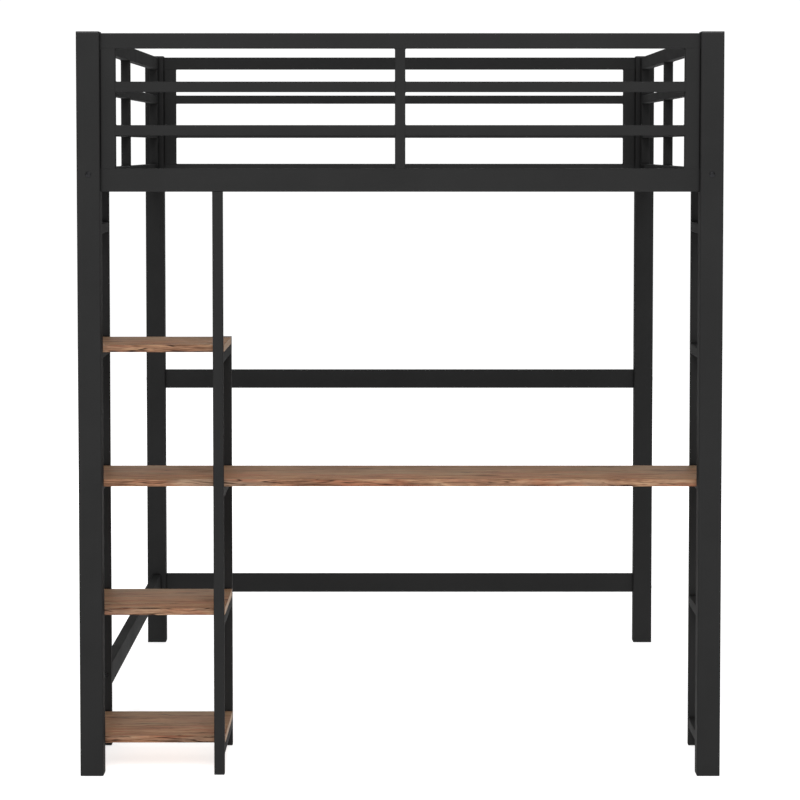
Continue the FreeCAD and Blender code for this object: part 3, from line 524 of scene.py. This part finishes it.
def weldRing(shape, joint, seed):
    draws = random.Random(seed)
    first, second = [a for a in range(3) if a != joint["along"]]
    path = weldPath(joint["size"][first], joint["size"][second])
    phase = draws.random() * math.tau
    travelled = 0.0
    rings = []
    for index, (u, v, outU, outV) in enumerate(path):
        if index:
            travelled += math.dist(path[index - 1][:2], (u, v))
        facing = {first: abs(outU), second: abs(outV)}.get(joint["flush"], 0.0)
        level = facing > weld["levelFacing"]
        sink = weld["flushSink"] * mm if level else 0.0
        over = weld["flushOver"] * mm * joint["way"] if level else 0.0
        swing = weld["groundRipple" if level else "ripple"] * mm
        wave = math.sin(travelled / (weld["pitch"] * mm) * math.tau + phase)
        wave += draws.uniform(-weld["wobble"], weld["wobble"])
        radius = weld["radius"] * mm + swing * wave
        ring = []
        for side in range(weld["sides"]):
            angle = side / weld["sides"] * math.tau
            spot = list(joint["centre"])
            spot[joint["along"]] += over + radius * math.sin(angle)
            spot[first] += u + outU * (radius * math.cos(angle) - sink)
            spot[second] += v + outV * (radius * math.cos(angle) - sink)
            ring.append(shape.verts.new(spot))
        rings.append(ring)
    for index, ring in enumerate(rings):
        following = rings[(index + 1) % len(rings)]
        for side in range(weld["sides"]):
            after = (side + 1) % weld["sides"]
            shape.faces.new((ring[side], following[side], following[after], ring[after]))


def weldPiece(name, joints):
    shape = bmesh.new()
    for seed, joint in enumerate(joints):
        weldRing(shape, joint, seed)
    bmesh.ops.recalc_face_normals(shape, faces=shape.faces)
    mesh = bpy.data.meshes.new(name)
    shape.to_mesh(mesh)
    shape.free()
    return finishPiece(mesh, name, "powder_coat", weld["smoothAngle"])


def endJoints(low, high, along, flushLow, flushHigh):
    # both ends of a tube from its box; flush is the axis on which it lies level with the other tube
    joints = []
    for way, end, flush in ((-1, low, flushLow), (1, high, flushHigh)):
        centre = (low + high) / 2
        centre[along] = end[along]
        joints.append({"centre": centre, "along": along, "size": high - low, "way": way, "flush": flush})
    return joints


def tubeJoints(nodeName, along, flushLow, flushHigh):
    low, high = (Vector(corner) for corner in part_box(nodeName))
    return endJoints(low, high, along, flushLow, flushHigh)


# Guards: the welds of a panel's stiles, centre upright and bars are placed from these sizes.
acrossAxis, depthAxis, heightAxis = 0, 1, 2
guard = {
    "railTall": 38,  # mm
    "stileWide": 38,  # mm
    "barSide": 26,  # mm
    "bars": 2,
}


def guardJoints(nodeName, along):
    # stiles, centre upright and the rows of bars of a guard that stands on its beam
    low, high = (Vector(corner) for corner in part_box(nodeName))
    across = depthAxis if along == acrossAxis else acrossAxis
    side, stile = guard["barSide"] * mm, guard["stileWide"] * mm
    if along == acrossAxis:
        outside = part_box("rear_upper_rail")[1][depthAxis]
    else:
        outside = -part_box("left_side_beam")[0][acrossAxis]
    middleAcross = math.copysign(outside - side / 2, low[across])
    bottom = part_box("left_side_guard")[0][heightAxis]
    railBottom = high.z - guard["railTall"] * mm
    middle = (low[along] + high[along]) / 2
    uprights = [(low[along], low[along] + stile), (middle - side / 2, middle + side / 2),
                (high[along] - stile, high[along])]

    def spanBox(runLow, runHigh, zLow, zHigh):
        boxLow, boxHigh = Vector((0, 0, zLow)), Vector((0, 0, zHigh))
        boxLow[along], boxHigh[along] = runLow, runHigh
        boxLow[across], boxHigh[across] = middleAcross - side / 2, middleAcross + side / 2
        return boxLow, boxHigh

    joints = []
    for runLow, runHigh in uprights:
        joints += endJoints(*spanBox(runLow, runHigh, bottom, railBottom), heightAxis, across, across)
    gap = (railBottom - bottom - guard["bars"] * side) / (guard["bars"] + 1)
    for row in range(guard["bars"]):
        barLow = bottom + gap + row * (gap + side)
        for (_, start), (end, _) in zip(uprights, uprights[1:]):
            joints += endJoints(*spanBox(start, end, barLow, barLow + side), along, across, across)
    return joints


rungJoints = []
for side in ("left", "ladder"):
    for index in range(1, 6):
        rungJoints += tubeJoints(f"{side}_rung_{index}", depthAxis, None, acrossAxis)
weldPiece("rung_welds", rungJoints)
shelfJoints = tubeJoints("desk_support_bar", acrossAxis, heightAxis, heightAxis)
for index in range(1, 5):
    shelfJoints += tubeJoints(f"shelf_side_bar_{index}", depthAxis, acrossAxis, acrossAxis)
weldPiece("shelf_frame_welds", shelfJoints)
for nodeName, along in (("front_end_panel", acrossAxis), ("rear_end_panel", acrossAxis),
                        ("left_side_guard", depthAxis), ("right_side_guard", depthAxis)):
    weldPiece(nodeName + "_welds", guardJoints(nodeName, along))
print("welds made")

# Camera: far back with a long lens, at a standing person's eye height, square on to the desk end
# and tilted down a little.
camera = {
    "across": -6.1,  # mm from the middle of the bed
    "distance": 7535.0,  # mm in front of the front posts
    "height": 1582.5,  # mm above the floor
    "tiltDown": 3.582,  # degrees
    "lens": 136.16,  # mm
    "sensor": 36.0,  # mm
    "shiftX": 0.0029,
    "shiftY": -0.08,
    "clip": (0.1, 200.0),  # m
}
cameraData = bpy.data.cameras.new("studioCamera")
cameraData.lens = camera["lens"]
cameraData.sensor_width = camera["sensor"]
cameraData.shift_x = camera["shiftX"]
cameraData.shift_y = camera["shiftY"]
cameraData.clip_start, cameraData.clip_end = camera["clip"]
cameraObject = bpy.data.objects.new("studioCamera", cameraData)
scene.collection.objects.link(cameraObject)
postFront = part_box("front_left_post")[0][1]
cameraObject.location = (
    camera["across"] * mm, postFront - camera["distance"] * mm, camera["height"] * mm)
cameraObject.rotation_euler = (math.radians(90 - camera["tiltDown"]), 0, 0)
scene.camera = cameraObject

# Studio: a pale floor that runs into a white backdrop, one large soft box in front, one overhead,
# and a weak one behind so that the far side isn't black.
studio = {
    "floorSize": 30.0,  # m
    "floorColour": "#dcdcdc",
    "floorRoughness": 0.9,
    "floorShine": 0.1,  # specular level of matt paint
    "glowNear": 0.76,  # the floor's own light under the bed, low enough for a faint contact shadow
    "glowFar": 1.05,
    "glowReach": (1.6, 5.0),  # m from the middle, where the glow starts and stops growing
    "dome": [(0.0, 0.36), (0.42, 0.05), (0.58, 0.05), (1.0, 0.24)],  # its light, front to back
    "backdrop": 1.05,  # how bright the dome looks
    "frontBox": {"place": (0.0, -9.0, 6.3), "size": (5.0, 4.0), "power": 740.0},  # m, m, W
    "topBox": {"place": (0.0, 0.2, 5.8), "size": (4.5, 4.5), "power": 110.0},
    "backBox": {"place": (0.0, 8.0, 6.0), "size": (5.0, 3.0), "power": 200.0},
}


def makeFloor():
    shape = bmesh.new()
    bmesh.ops.create_grid(shape, x_segments=4, y_segments=4, size=studio["floorSize"] / 2)
    mesh = bpy.data.meshes.new("studioFloor")
    shape.to_mesh(mesh)
    shape.free()
    floor = bpy.data.objects.new("studioFloor", mesh)
    scene.collection.objects.link(floor)
    material, tree, shader = startMaterial(
        "paintedStudioFloor", studio["floorColour"], studio["floorRoughness"])
    shader.inputs["Specular IOR Level"].default_value = studio["floorShine"]
    shader.inputs["Emission Color"].default_value = (1, 1, 1, 1)
    place = addNode(tree, "ShaderNodeTexCoord").outputs["Object"]
    distance = addNode(tree, "ShaderNodeVectorMath", {"operation": "LENGTH"}, {0: place})
    start, stop = studio["glowReach"]
    glow = addNode(tree, "ShaderNodeMapRange", inputs={
        "Value": distance.outputs["Value"], "From Min": start, "From Max": stop,
        "To Min": studio["glowNear"], "To Max": studio["glowFar"]})
    tree.links.new(glow.outputs["Result"], shader.inputs["Emission Strength"])
    mesh.materials.append(material)


def makeWorld():
    # the backdrop is white to the eye, and lights the object more softly than it looks
    world = bpy.data.worlds.new("studioDome")
    scene.world = world
    world.use_nodes = True
    tree = world.node_tree
    tree.nodes.clear()
    direction = addNode(tree, "ShaderNodeSeparateXYZ", inputs={
        "Vector": addNode(tree, "ShaderNodeTexCoord").outputs["Generated"]})
    depth = addNode(tree, "ShaderNodeMapRange", inputs={
        "Value": direction.outputs["Y"], "From Min": -1.0, "From Max": 1.0})
    lit = addNode(tree, "ShaderNodeValToRGB", {"stops": studio["dome"]}, {
        "Fac": depth.outputs["Result"]})
    path = addNode(tree, "ShaderNodeLightPath")
    strength = addNode(tree, "ShaderNodeMapRange", inputs={
        "Value": path.outputs["Is Camera Ray"], "To Min": lit.outputs["Color"],
        "To Max": studio["backdrop"]})
    dome = addNode(tree, "ShaderNodeBackground", inputs={
        "Color": (1, 1, 1, 1), "Strength": strength.outputs["Result"]})
    addNode(tree, "ShaderNodeOutputWorld", inputs={"Surface": dome.outputs["Background"]})


def makeSoftBox(name):
    box = studio[name]
    data = bpy.data.lights.new(name, "AREA")
    data.shape = "RECTANGLE"
    data.size, data.size_y = box["size"]
    data.energy = box["power"]
    light = bpy.data.objects.new(name, data)
    light.location = box["place"]
    middle = (cadLow + cadHigh) / 2
    light.rotation_euler = (middle - light.location).to_track_quat("-Z", "Y").to_euler()
    scene.collection.objects.link(light)


makeFloor()
makeWorld()
for boxName in ("frontBox", "topBox", "backBox"):
    makeSoftBox(boxName)
scene.view_settings.view_transform = "Standard"
scene.view_settings.look = "None"
print("studio made")
